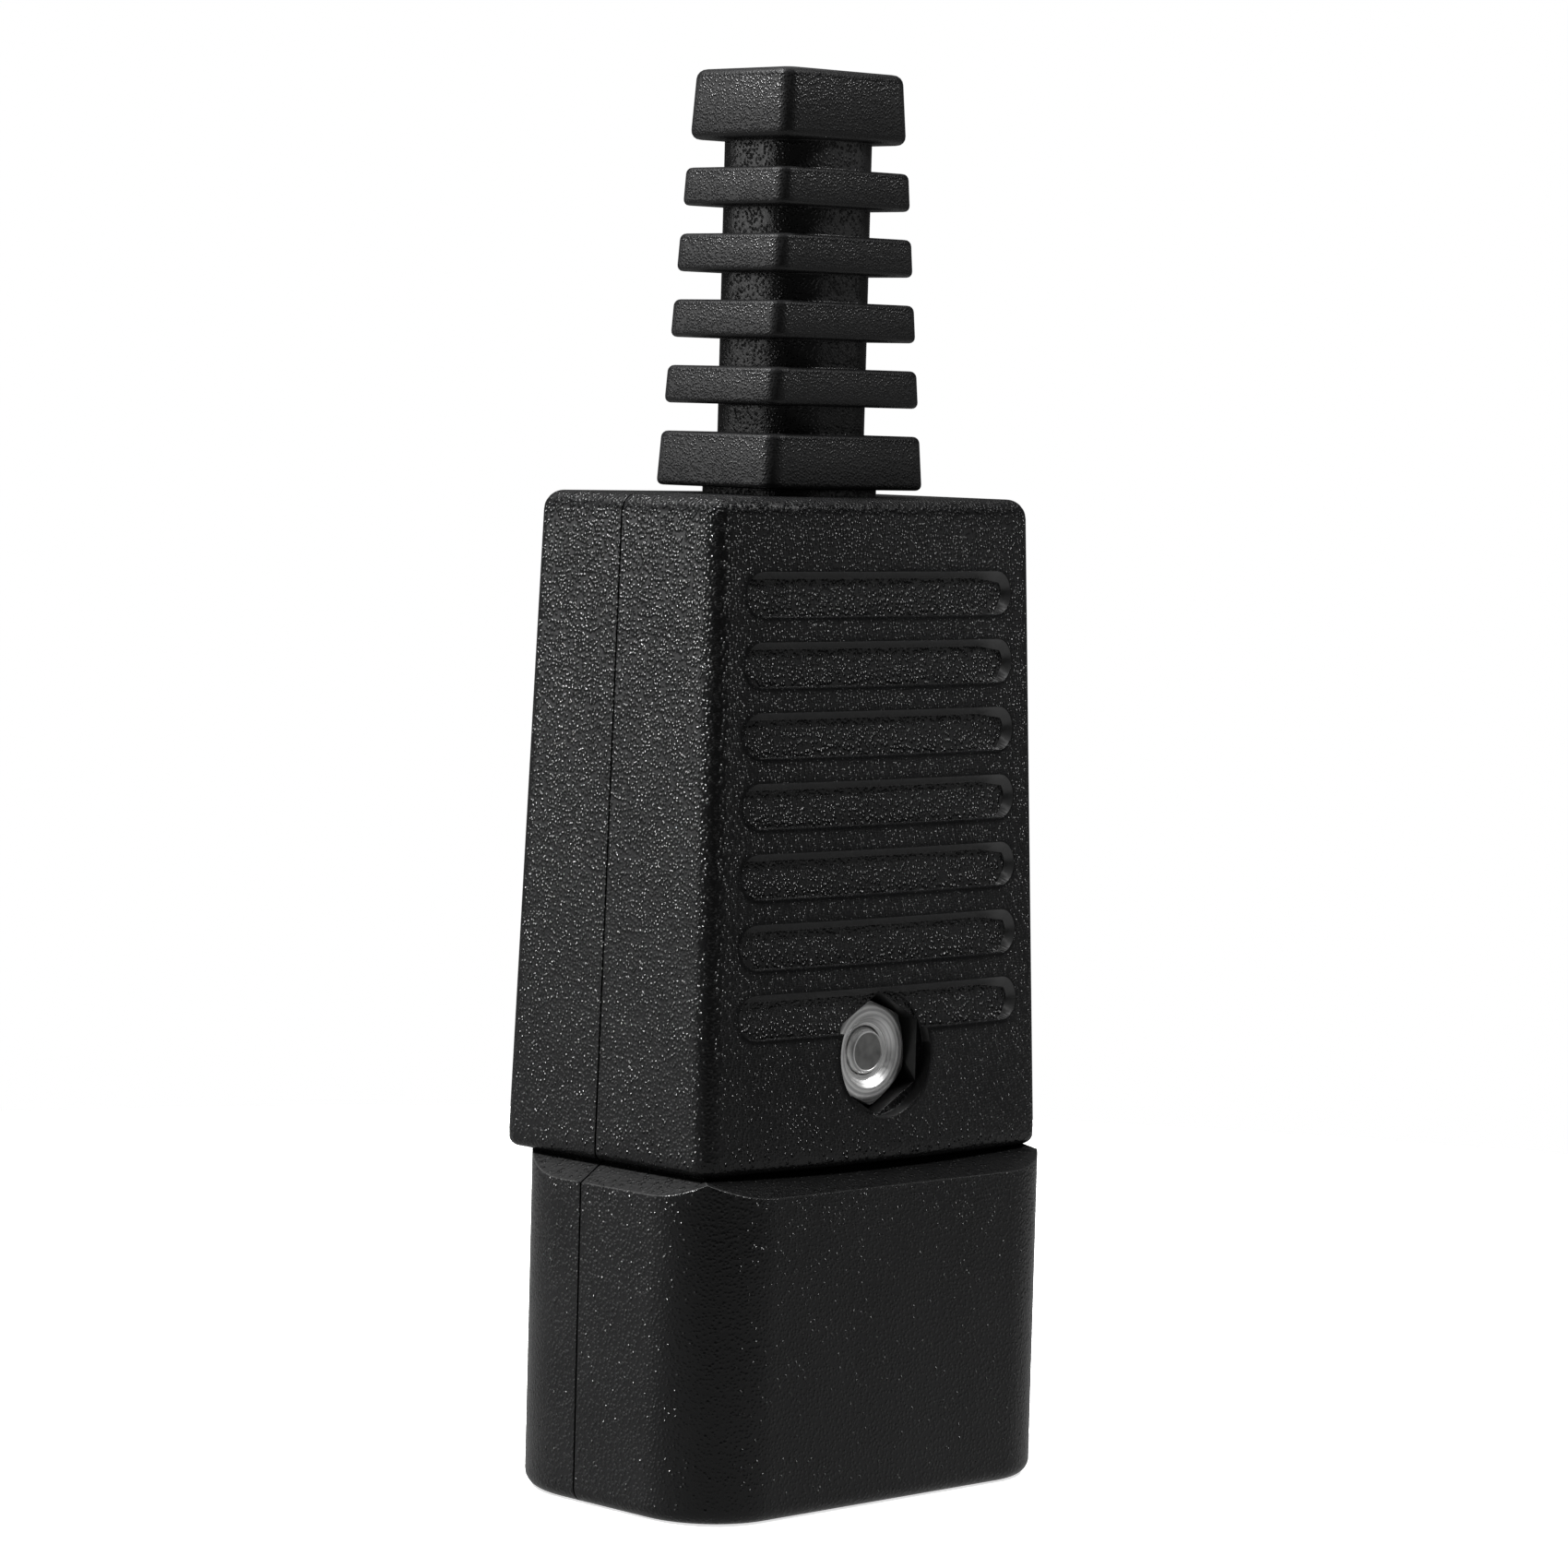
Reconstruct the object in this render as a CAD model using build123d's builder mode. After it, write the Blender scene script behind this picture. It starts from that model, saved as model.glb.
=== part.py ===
import math
import os

from build123d import *

# A rewirable cord-end power inlet, in millimetres. +Z runs towards the cord, z = 0 is the rim
# of the shroud, the two half shells part on y = 0, and the nut is on the -Y side.

# Shroud round the pins
shroud_width = 29.0
shroud_front = 10.75
shroud_rear = 8.15
shroud_height = 18.2
shroud_front_radius = 5.1
shroud_rear_radius = 6.4
rim_round = 0.9

# Opening that takes the mating connector, with two corners cut off on the earth side
shroud_wall = 2.2
cavity_depth = 16.0
cavity_floor = 0.8
cavity_radius = 2.0
key_chamfer = 4.6

# Housing behind the shroud; its broad faces are crowned across their width
shoulder_height = 1.3
housing_length = 37.4
housing_step = 1.0
housing_taper = 0.9
housing_base_front = 9.0
housing_top_front = 7.7
housing_base_rear = 8.05
housing_top_rear = 7.2
housing_crown = 0.7
housing_edge_radius = 1.25
housing_top_round = 1.15
housing_base_round = 0.85
neck_inset = 1.0
wall = 1.8
web_thickness = 2.6
ceiling_thickness = 2.1
seam_gap = 0.12
seam_depth = 0.5

# Finger grips sunk in both broad faces
grip_count = 7
grip_drop = 4.1
grip_pitch = 3.91
grip_height = 2.5
grip_depth = 0.42
grip_slope = 0.4
grip_margin = 2.2

# Screw and nut that hold the shells together
screw_rise = 6.0
screw_length = 12.0
screw_diameter = 3.0
screw_end_sink = 0.12
screw_head_diameter = 5.6
screw_head_height = 2.1
screw_recess_width = 0.9
screw_recess_length = 3.2
screw_recess_depth = 1.1
nut_flats = 5.5
nut_thickness = 2.4
nut_turn = 9.0
nut_sink = 1.35
nut_bore_chamfer = 0.5
nut_corner_chamfer = 0.3
nut_recess_margin = 0.05
nut_recess_depth = 0.68
boss_diameter = 9.4

# Fits
slide_clearance = 0.1
thread_clearance = 0.05
hole_clearance = 0.3
pocket_clearance = 0.3

# Pins and their pillar terminals
pin_spacing = 14.0
pin_offset = 4.0
pin_thickness = 2.0
pin_width = 4.0
pin_tip = 0.6
line_pin_start = 3.6
earth_pin_start = 2.2
pillar_width = 4.8
pillar_depth = 5.8
pillar_height = 9.6
pillar_edge = 0.4
wire_hole_diameter = 2.8
wire_hole_depth = 7.6
strap_width = 7.0
strap_thickness = 1.2
earth_pillar_gap = 2.2
earth_pillar_height = 8.4

# Terminal screws
terminal_diameter = 2.9
terminal_head_diameter = 4.2
terminal_head_height = 1.5
terminal_head_gap = 0.3
terminal_slot = 0.7
terminal_slot_depth = 0.8

# Walls and seats inside the shells
rib = 1.2
barrier_over = 0.4
stop_height = 1.2
lock_height = 1.4

# Cord clamp
cord_axis = -0.35
cord_grip = 5.4
clamp_drop = 9.9
clamp_width = 5.0
clamp_inset = 5.9
clamp_lug = 1.8
clamp_bridge = 2.0
clamp_end = 2.9
clamp_post_diameter = 5.6
clamp_screw_depth = 6.0
clamp_head_diameter = 4.6
clamp_head_height = 1.7
saddle_width = 2.4

# Ribbed cord sleeve
sleeve_gap = 0.4
sleeve_base = (12.66, 10.1)
sleeve_tip = (9.64, 8.2)
sleeve_corner = 0.95
sleeve_edge = 0.32
sleeve_flange = 3.1
sleeve_rib = 2.15
sleeve_groove = 1.6
sleeve_rib_count = 4
sleeve_block = 4.0
sleeve_neck = 7.2
sleeve_neck_corner = 2.3
sleeve_root = 8.6
sleeve_bore = 6.2
sleeve_flare = 0.8
sleeve_collar = 11.0
sleeve_collar_height = 1.8
shelf_thickness = 1.5

# Values that follow from the sizes above
cavity_width = shroud_width - 2 * shroud_wall
cavity_height = shroud_height - cavity_floor
housing_start = shroud_height + shoulder_height
housing_top = housing_start + housing_length
housing_base_width = shroud_width - 2 * housing_step
housing_top_width = housing_base_width - 2 * housing_taper
grip_top = housing_top - grip_drop
screw_height = housing_start + screw_rise
clamp_height = housing_top - clamp_drop
cavity_centre = (shroud_rear - shroud_front) / 2
line_y = cavity_centre - pin_offset / 2
earth_y = cavity_centre + pin_offset / 2
web_top = cavity_height + web_thickness
ceiling = housing_top - ceiling_thickness
thread_hole = terminal_diameter + 2 * thread_clearance
nut_corners = nut_flats / 0.866
pocket_corners = (nut_flats + 2 * pocket_clearance) / 0.866
nut_recess_diameter = pocket_corners + 2 * nut_recess_margin
screw_hole = screw_diameter + hole_clearance
pillar_x = (boss_diameter / 2 + housing_base_width / 2 - wall) / 2
pillar_start = web_top + slide_clearance
pillar_top = pillar_start + pillar_height
pillar_face = line_y + pillar_depth / 2
pillar_back = line_y - pillar_depth / 2
barrier_top = pillar_top + slide_clearance + stop_height + barrier_over
earth_pillar_start = screw_height + boss_diameter / 2 + earth_pillar_gap
terminal_height = (pillar_start + pillar_top) / 2 + stop_height / 2
earth_terminal_height = earth_pillar_start + earth_pillar_height / 2
strap_y = strap_thickness / 2
earth_pillar_face = strap_y + pillar_depth / 2
earth_pillar_back = strap_y - pillar_depth / 2
post_x = housing_base_width / 2 - clamp_inset
clamp_spacing = 2 * post_x
clamp_seat = slide_clearance
sleeve_start = housing_top + sleeve_gap
sleeve_length = sleeve_flange + sleeve_block + sleeve_groove
sleeve_length += sleeve_rib_count * (sleeve_groove + sleeve_rib)
sleeve_narrowing = (sleeve_base[0] - sleeve_tip[0] + sleeve_base[1] - sleeve_tip[1]) / 4
sleeve_taper = math.degrees(math.atan(sleeve_narrowing / sleeve_length))
collar_top = ceiling - slide_clearance
shelf_top = collar_top - sleeve_collar_height - slide_clearance
past = 2.0

os.makedirs("parts", exist_ok=True)


def along_housing(base, top, z):
    return base + (top - base) * (z - housing_start) / (housing_top - housing_start)


def housing_width(z):
    return along_housing(housing_base_width, housing_top_width, z)


def housing_front(z):
    return along_housing(housing_base_front, housing_top_front, z)


def housing_rear(z):
    return along_housing(housing_base_rear, housing_top_rear, z)


def housing_section(z, inset):
    front = housing_front(z) - inset
    rear = housing_rear(z) - inset
    with Locations((0, (rear - front) / 2)):
        Rectangle(housing_width(z) - 2 * inset, front + rear)


def shroud_rectangle():
    with Locations((0, (shroud_rear - shroud_front) / 2)):
        Rectangle(shroud_width, shroud_front + shroud_rear)


def shroud_outline():
    shroud_rectangle()
    fillet(vertices().group_by(Axis.Y)[0], shroud_front_radius)
    fillet(vertices().group_by(Axis.Y)[-1], shroud_rear_radius)


def cavity_outline():
    with Locations((0, cavity_centre)):
        Rectangle(cavity_width, cavity_depth)
    chamfer(vertices().group_by(Axis.Y)[-1], key_chamfer)
    fillet(vertices().group_by(Axis.Y)[0], cavity_radius)


# Depths inside the broad walls, where a rib or boss can end out of sight
def front_root(z):
    return housing_front(z) - wall / 2


def rear_root(z):
    return housing_rear(z) - wall / 2


# Space outside a crowned broad face, drawn at one height; side is -1 for the front, 1 for the rear
def outside_crown(z, half, edge, side):
    with BuildSketch(Plane.XY.offset(z)) as space:
        with BuildLine():
            ThreePointArc((-half, side * edge), (0, side * (edge + housing_crown)), (half, side * edge))
            Polyline(
                (half, side * edge),
                (half, side * (edge + past)),
                (-half, side * (edge + past)),
                (-half, side * edge),
            )
        make_face()
    return space.sketch


# Stadium grips of one broad face: each top edge slopes in, the floor follows the crown
def grip_cutter(depth_at, side, view):
    taper = (depth_at(housing_start) - depth_at(housing_top)) / housing_length
    with BuildPart() as cutter:
        for i in range(grip_count):
            top = grip_top - i * grip_pitch
            half = housing_width(top) / 2
            slope = outside_crown(top, half, depth_at(top), side)
            inwards = (0, -side * grip_depth, -grip_slope)
            extrude(slope, dir=inwards, amount=math.hypot(grip_depth, grip_slope))
            floor = outside_crown(top - grip_slope, half, depth_at(top) - grip_depth, side)
            extrude(floor, dir=(0, side * taper, -1), amount=grip_height - grip_slope)
        with BuildSketch(view):
            for i in range(grip_count):
                middle = grip_top - grip_height / 2 - i * grip_pitch
                with Locations((0, middle)):
                    SlotOverall(housing_width(middle) - 2 * grip_margin, grip_height)
        extrude(amount=depth_at(housing_start) + past, mode=Mode.INTERSECT)
    return cutter.part


# Fine groove left along the parting line of one shell
def cut_seam(plane):
    with BuildSketch(plane) as groove:
        with BuildLine():
            Polyline(
                (0, 0),
                (shroud_width / 2, 0),
                (shroud_width / 2, shroud_height),
                (housing_base_width / 2 - neck_inset, housing_start),
                (housing_base_width / 2, housing_start),
                (housing_top_width / 2, housing_top),
                (0, housing_top),
            )
            mirror(about=Plane.YZ)
        make_face()
        offset(amount=-seam_depth, mode=Mode.SUBTRACT)
    extrude(groove.sketch, amount=seam_gap / 2, mode=Mode.SUBTRACT)


# Shroud with the sloped shoulder that rises from its rim to the neck
with BuildPart() as shroud_body:
    with BuildSketch(Plane.XY.offset(shroud_height)):
        shroud_outline()
    extrude(amount=housing_start - shroud_height)
    with BuildSketch(Plane.XY.offset(shroud_height)):
        shroud_rectangle()
    with BuildSketch(Plane.XY.offset(housing_start)):
        neck_front = housing_base_front - neck_inset
        neck_rear = housing_base_rear - neck_inset
        with Locations((0, (neck_rear - neck_front) / 2)):
            Rectangle(housing_base_width - 2 * neck_inset, neck_front + neck_rear)
    loft(ruled=True, mode=Mode.INTERSECT)
    with BuildSketch():
        shroud_outline()
    extrude(amount=shroud_height)
    fillet(edges().group_by(Axis.Z)[0], rim_round)

with BuildPart() as housing_body:
    for level in (housing_start, housing_top):
        half = housing_width(level) / 2
        front = housing_front(level)
        rear = housing_rear(level)
        with BuildSketch(Plane.XY.offset(level)):
            with BuildLine():
                ThreePointArc((-half, -front), (0, -front - housing_crown), (half, -front))
                Line((half, -front), (half, rear))
                ThreePointArc((half, rear), (0, rear + housing_crown), (-half, rear))
                Line((-half, rear), (-half, -front))
            make_face()
    loft(ruled=True)
    fillet(edges().group_by(Axis.Z)[1], housing_edge_radius)
    fillet(edges().group_by(Axis.Z)[-1], housing_top_round)
    fillet(edges().group_by(Axis.Z)[0], housing_base_round)

# Both shells as one hollow body, before it is parted
with BuildPart() as hollow_body:
    add(shroud_body.part)
    add(housing_body.part)
    with BuildSketch():
        cavity_outline()
    extrude(amount=cavity_height, mode=Mode.SUBTRACT)
    for level in (web_top, ceiling):
        with BuildSketch(Plane.XY.offset(level)):
            housing_section(level, wall)
    loft(ruled=True, mode=Mode.SUBTRACT)
    with BuildSketch(Plane.XY.offset(shelf_top)):
        housing_section(shelf_top, wall / 2)
    extrude(amount=-shelf_thickness)
    outlet = sleeve_root + 2 * slide_clearance
    with BuildSketch(Plane.XY.offset(shelf_top - shelf_thickness)):
        with Locations((0, cord_axis)):
            RectangleRounded(outlet, outlet, sleeve_neck_corner)
    extrude(amount=housing_top - shelf_top + shelf_thickness, mode=Mode.SUBTRACT)

# Front shell: the tray that holds the nut, the pins and the cord clamp
front_grips = grip_cutter(housing_front, -1, Plane.front)
with BuildPart() as front_shell:
    add(hollow_body.part)
    split(bisect_by=Plane.front, keep=Keep.TOP)
    # boss for the nut, on which the earth strap lies
    with BuildSketch(Plane.front):
        with Locations((0, screw_height)):
            Circle(boss_diameter / 2)
    extrude(amount=front_root(screw_height))
    # barriers between the earth strap and the line terminals
    barrier_x = pillar_x - pillar_width / 2 - slide_clearance - rib / 2
    barrier_length = barrier_top - web_top
    with BuildSketch(Plane.front.offset(slide_clearance)):
        with Locations((0, web_top + barrier_length / 2)):
            with GridLocations(2 * barrier_x, 0, 2, 1):
                Rectangle(rib, barrier_length)
    extrude(amount=front_root(barrier_top) - slide_clearance)
    # pads under the line terminals, and stops behind them
    with BuildSketch(Plane.front.offset(slide_clearance - pillar_back)):
        with Locations((0, pillar_start + pillar_height / 2)):
            with GridLocations(2 * pillar_x, pillar_height / 2, 2, 2):
                Rectangle(pillar_width, rib)
    extrude(amount=front_root(pillar_top) - slide_clearance + pillar_back)
    stop_depth = wire_hole_diameter / 2 + slide_clearance - line_y
    with BuildSketch(Plane.front.offset(stop_depth)):
        with Locations((0, pillar_top + slide_clearance + stop_height / 2)):
            with GridLocations(2 * pillar_x, 0, 2, 1):
                Rectangle(pillar_width + 2 * rib, stop_height)
    extrude(amount=front_root(pillar_top) - stop_depth)
    # cradle under the earth terminal
    cradle_depth = slide_clearance - earth_pillar_back
    with BuildSketch(Plane.front.offset(cradle_depth)):
        with Locations((0, earth_terminal_height)):
            with GridLocations(pillar_width - rib, 0, 2, 1):
                Rectangle(rib, earth_pillar_height)
    extrude(amount=front_root(earth_terminal_height) - cradle_depth)
    # posts and saddle of the cord clamp
    with BuildSketch(Plane.front):
        with Locations((0, clamp_height)):
            with GridLocations(clamp_spacing, 0, 2, 1):
                Circle(clamp_post_diameter / 2)
    extrude(amount=front_root(clamp_height))
    saddle_depth = cord_grip / 2 - cord_axis
    with BuildSketch(Plane.front.offset(saddle_depth)):
        with Locations((0, clamp_height)):
            Rectangle(clamp_spacing, saddle_width)
    extrude(amount=front_root(clamp_height) - saddle_depth)
    with BuildSketch(Plane.front):
        with Locations((0, clamp_height)):
            with GridLocations(clamp_spacing, 0, 2, 1):
                Circle(thread_hole / 2)
    extrude(amount=clamp_screw_depth + slide_clearance, mode=Mode.SUBTRACT)
    # notches that let the pins drop into the web
    notch = pin_thickness + 2 * slide_clearance
    line_notch = pin_width / 2 + slide_clearance - line_y
    earth_notch = pin_width / 2 + slide_clearance - earth_y
    with BuildSketch(Plane.XY.offset(cavity_height)):
        with Locations((0, -line_notch / 2)):
            with GridLocations(pin_spacing, 0, 2, 1):
                Rectangle(notch, line_notch)
        with Locations((0, -earth_notch / 2)):
            Rectangle(notch, earth_notch)
    extrude(amount=web_thickness, mode=Mode.SUBTRACT)
    # outside: grips, round recess, hexagon pocket and the hole for the screw
    add(front_grips, mode=Mode.SUBTRACT)
    crest = housing_front(screw_height) + housing_crown
    nut_face = crest - nut_sink
    recess_floor = crest - nut_recess_depth
    with BuildSketch(Plane.front.offset(recess_floor)):
        with Locations((0, screw_height)):
            Circle(nut_recess_diameter / 2)
    extrude(amount=past, mode=Mode.SUBTRACT)
    with BuildSketch(Plane.front.offset(nut_face - nut_thickness)):
        with Locations((0, screw_height)):
            RegularPolygon(pocket_corners / 2, 6, rotation=30)
    extrude(amount=nut_thickness + past, mode=Mode.SUBTRACT)
    with BuildSketch(Plane.front):
        with Locations((0, screw_height)):
            Circle(screw_hole / 2)
    extrude(amount=nut_face, mode=Mode.SUBTRACT)
    cut_seam(Plane.front)
front_shell.part.label = "front_shell"
export_step(front_shell.part, "parts/front_shell.step")

# Rear shell: the cover, with the head of the screw
rear_grips = grip_cutter(housing_rear, 1, Plane.back)
with BuildPart() as rear_shell:
    add(hollow_body.part)
    split(bisect_by=Plane.back, keep=Keep.TOP)
    # boss that presses the earth strap on its seat
    boss_end = strap_thickness + slide_clearance
    with BuildSketch(Plane.back.offset(boss_end)):
        with Locations((0, screw_height)):
            Circle(boss_diameter / 2)
    extrude(amount=rear_root(screw_height) - boss_end)
    # ribs that keep the terminals down in the tray
    lock_level = pillar_start + lock_height
    with BuildSketch(Plane.back.offset(pillar_face + slide_clearance)):
        with Locations((0, lock_level)):
            with GridLocations(2 * pillar_x, 0, 2, 1):
                Rectangle(pillar_width - 2 * rib, rib)
    extrude(amount=rear_root(lock_level) - pillar_face - slide_clearance)
    with BuildSketch(Plane.back.offset(earth_pillar_face + slide_clearance)):
        with Locations((0, earth_pillar_start + lock_height)):
            Rectangle(pillar_width, rib)
    extrude(amount=rear_root(earth_pillar_start) - earth_pillar_face - slide_clearance)
    # notch for the earth pin, and tongues that close the notches of the line pins
    rear_notch = earth_y + pin_width / 2 + slide_clearance
    with BuildSketch(Plane.XY.offset(cavity_height)):
        with Locations((0, rear_notch / 2)):
            Rectangle(notch, rear_notch)
    extrude(amount=web_thickness, mode=Mode.SUBTRACT)
    tongue = -line_y - pin_width / 2 - slide_clearance
    with BuildSketch(Plane.XY.offset(cavity_height)):
        with Locations((0, (wall - tongue) / 2)):
            with GridLocations(pin_spacing, 0, 2, 1):
                Rectangle(pin_thickness, tongue + wall)
    extrude(amount=web_thickness)
    # outside: grips, the sunk seat of the screw head and the hole
    add(rear_grips, mode=Mode.SUBTRACT)
    screw_end = nut_face - screw_end_sink
    screw_seat = screw_length - screw_end
    with BuildSketch(Plane.back.offset(screw_seat)):
        with Locations((0, screw_height)):
            Circle((screw_head_diameter + 2 * hole_clearance) / 2)
    extrude(amount=housing_rear(screw_height) + past - screw_seat, mode=Mode.SUBTRACT)
    with BuildSketch(Plane.back):
        with Locations((0, screw_height)):
            Circle(screw_hole / 2)
    extrude(amount=screw_seat, mode=Mode.SUBTRACT)
    cut_seam(Plane.back)
rear_shell.part.label = "rear_shell"
export_step(rear_shell.part, "parts/rear_shell.step")

# One square slab of the sleeve, from a given height above its foot
def sleeve_slab(start, height):
    share = start / sleeve_length
    width = sleeve_base[0] - (sleeve_base[0] - sleeve_tip[0]) * share
    depth = sleeve_base[1] - (sleeve_base[1] - sleeve_tip[1]) * share
    with BuildPart() as slab:
        with BuildSketch(Plane.XY.offset(sleeve_start + start)):
            with Locations((0, cord_axis)):
                RectangleRounded(width, depth, sleeve_corner)
        extrude(amount=height, taper=sleeve_taper)
        slab_edges = edges().group_by(Axis.Z)
        chamfer(slab_edges[0] + slab_edges[-1], sleeve_edge)
    return slab.part


# Soft sleeve: one moulding with a collar held between the shells, a flange, ribs and a tip block
slabs = [sleeve_slab(0, sleeve_flange), sleeve_slab(sleeve_length - sleeve_block, sleeve_block)]
for i in range(sleeve_rib_count):
    slab_start = sleeve_flange + sleeve_groove + i * (sleeve_groove + sleeve_rib)
    slabs.append(sleeve_slab(slab_start, sleeve_rib))
with BuildPart() as cord_sleeve:
    add(slabs)
    with BuildSketch(Plane.XY.offset(collar_top)):
        with Locations((0, cord_axis)):
            RectangleRounded(sleeve_collar, sleeve_collar, sleeve_neck_corner)
    extrude(amount=-sleeve_collar_height)
    with BuildSketch(Plane.XY.offset(collar_top)):
        with Locations((0, cord_axis)):
            RectangleRounded(sleeve_neck, sleeve_neck, sleeve_neck_corner)
    extrude(amount=sleeve_start + sleeve_length - sleeve_block / 2 - collar_top)
    with BuildSketch(Plane.XY.offset(collar_top)):
        with Locations((0, cord_axis)):
            RectangleRounded(sleeve_root, sleeve_root, sleeve_neck_corner)
    extrude(amount=sleeve_start - collar_top)
    with BuildSketch(Plane.XY.offset(sleeve_start)):
        with Locations((0, cord_axis)):
            Circle(sleeve_bore / 2)
    extrude(amount=sleeve_length, mode=Mode.SUBTRACT)
    # the bore widens towards the inside, to lead the cord in
    collar_foot = collar_top - sleeve_collar_height
    for level, diameter in ((collar_foot, sleeve_bore + sleeve_flare), (sleeve_start, sleeve_bore)):
        with BuildSketch(Plane.XY.offset(level)):
            with Locations((0, cord_axis)):
                Circle(diameter / 2)
    loft(ruled=True, mode=Mode.SUBTRACT)
cord_sleeve.part.label = "cord_sleeve"
export_step(cord_sleeve.part, "parts/cord_sleeve.step")

# Shell screw, with a cross recess in its pan head
with BuildPart() as shell_screw:
    with BuildSketch(Plane.back.offset(-screw_end)):
        with Locations((0, screw_height)):
            Circle(screw_diameter / 2)
    extrude(amount=screw_length)
    with BuildSketch(Plane.back.offset(screw_seat)):
        with Locations((0, screw_height)):
            Circle(screw_head_diameter / 2)
    extrude(amount=screw_head_height)
    fillet(edges().group_by(Axis.Y)[-1], screw_head_height / 2)
    with BuildSketch(Plane.back.offset(screw_seat + screw_head_height)):
        with Locations((0, screw_height)):
            Rectangle(screw_recess_length, screw_recess_width)
            Rectangle(screw_recess_width, screw_recess_length)
    extrude(amount=-screw_recess_depth, mode=Mode.SUBTRACT)
shell_screw.part.label = "shell_screw"
export_step(shell_screw.part, "parts/shell_screw.step")

# Hexagon nut: the corners are turned off on both faces and the bore is countersunk
with BuildPart() as shell_nut:
    with BuildSketch(Plane.front.offset(nut_face - nut_thickness)):
        with Locations((0, screw_height)):
            RegularPolygon(nut_corners / 2, 6, rotation=30 + nut_turn)
    extrude(amount=nut_thickness)
    with BuildSketch(Plane.front.offset(nut_face - nut_thickness)):
        with Locations((0, screw_height)):
            Circle(nut_corners / 2)
    extrude(amount=nut_thickness, mode=Mode.INTERSECT)
    turned = nut_corners / 2 - nut_flats / 2
    with BuildSketch(Plane.YZ):
        with BuildLine():
            Polyline(
                (-nut_face, screw_height),
                (-nut_face, screw_height + nut_flats / 2),
                (-nut_face + nut_corner_chamfer, screw_height + nut_flats / 2 + turned),
                (nut_thickness - nut_face - nut_corner_chamfer, screw_height + nut_flats / 2 + turned),
                (nut_thickness - nut_face, screw_height + nut_flats / 2),
                (nut_thickness - nut_face, screw_height),
                close=True,
            )
        make_face()
    revolve(axis=Axis((0, 0, screw_height), (0, 1, 0)), mode=Mode.INTERSECT)
    with BuildSketch(Plane.front.offset(nut_face - nut_thickness)):
        with Locations((0, screw_height)):
            Circle(screw_diameter / 2 + thread_clearance)
    extrude(amount=nut_thickness, mode=Mode.SUBTRACT)
    chamfer(edges().filter_by(GeomType.CIRCLE).sort_by(SortBy.RADIUS)[0:2], nut_bore_chamfer)
shell_nut.part.label = "shell_nut"
export_step(shell_nut.part, "parts/shell_nut.step")


# Flat blade of one pin, with its tip eased, drawn at the given place
def pin_blade(x, y, start, end):
    with BuildSketch(Plane.XY.offset(start)) as section:
        with Locations((x, y)):
            Rectangle(pin_thickness, pin_width)
    extrude(section.sketch, amount=end - start)
    chamfer(edges().group_by(Axis.Z)[0], pin_tip)


# Pillar block with a wire hole from the cord side and a cross hole for the terminal screw
def pillar(x, y, start, height, screw_z):
    with BuildSketch(Plane.XY.offset(start)) as block:
        with Locations((x, y)):
            RectangleRounded(pillar_width, pillar_depth, pillar_edge)
    extrude(block.sketch, amount=height)
    with BuildSketch(Plane.XY.offset(start + height)) as wire_hole:
        with Locations((x, y)):
            Circle(wire_hole_diameter / 2)
    extrude(wire_hole.sketch, amount=-wire_hole_depth, mode=Mode.SUBTRACT)
    with BuildSketch(Plane.back.offset(y)) as cross_hole:
        with Locations((-x, screw_z)):
            Circle(thread_hole / 2)
    extrude(cross_hole.sketch, amount=pillar_depth / 2, mode=Mode.SUBTRACT)


# Slotted screw of one terminal, pointing to the front
def terminal_screw(x, y, screw_z):
    face = y + pillar_depth / 2 + terminal_head_gap
    with BuildSketch(Plane.back.offset(y)) as shank:
        with Locations((-x, screw_z)):
            Circle(terminal_diameter / 2)
    extrude(shank.sketch, amount=face - y)
    with BuildSketch(Plane.back.offset(face)) as head:
        with Locations((-x, screw_z)):
            Circle(terminal_head_diameter / 2)
    extrude(head.sketch, amount=terminal_head_height)
    with BuildSketch(Plane.back.offset(face + terminal_head_height)) as slot:
        with Locations((-x, screw_z)):
            Rectangle(terminal_head_diameter, terminal_slot)
    extrude(slot.sketch, amount=-terminal_slot_depth, mode=Mode.SUBTRACT)


for name, side in (("live", -1), ("neutral", 1)):
    with BuildPart() as line_pin:
        pin_blade(side * pin_spacing / 2, line_y, line_pin_start, pillar_start)
        pillar(side * pillar_x, line_y, pillar_start, pillar_height, terminal_height)
    line_pin.part.label = name + "_pin"
    export_step(line_pin.part, "parts/" + name + "_pin.step")
    with BuildPart() as line_screw:
        terminal_screw(side * pillar_x, line_y, terminal_height)
    line_screw.part.label = name + "_terminal_screw"
    export_step(line_screw.part, "parts/" + name + "_terminal_screw.step")

# Earth pin: blade, a strap that the shell screw passes through, and a pillar beyond it
with BuildPart() as earth_pin:
    pin_blade(0, earth_y, earth_pin_start, screw_height - boss_diameter / 2 - slide_clearance)
    with BuildSketch(Plane.back):
        with BuildLine():
            Polyline(
                (-strap_width / 2, pillar_start),
                (strap_width / 2, pillar_start),
                (strap_width / 2, earth_pillar_start + strap_thickness),
                (-strap_width / 2, earth_pillar_start + strap_thickness),
                close=True,
            )
        make_face()
        with Locations((0, screw_height)):
            Circle(screw_hole / 2, mode=Mode.SUBTRACT)
    extrude(amount=strap_thickness)
    pillar(0, strap_y, earth_pillar_start, earth_pillar_height, earth_terminal_height)
earth_pin.part.label = "earth_pin"
export_step(earth_pin.part, "parts/earth_pin.step")

with BuildPart() as earth_terminal_screw:
    terminal_screw(0, strap_y, earth_terminal_height)
earth_terminal_screw.part.label = "earth_terminal_screw"
export_step(earth_terminal_screw.part, "parts/earth_terminal_screw.step")

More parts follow.
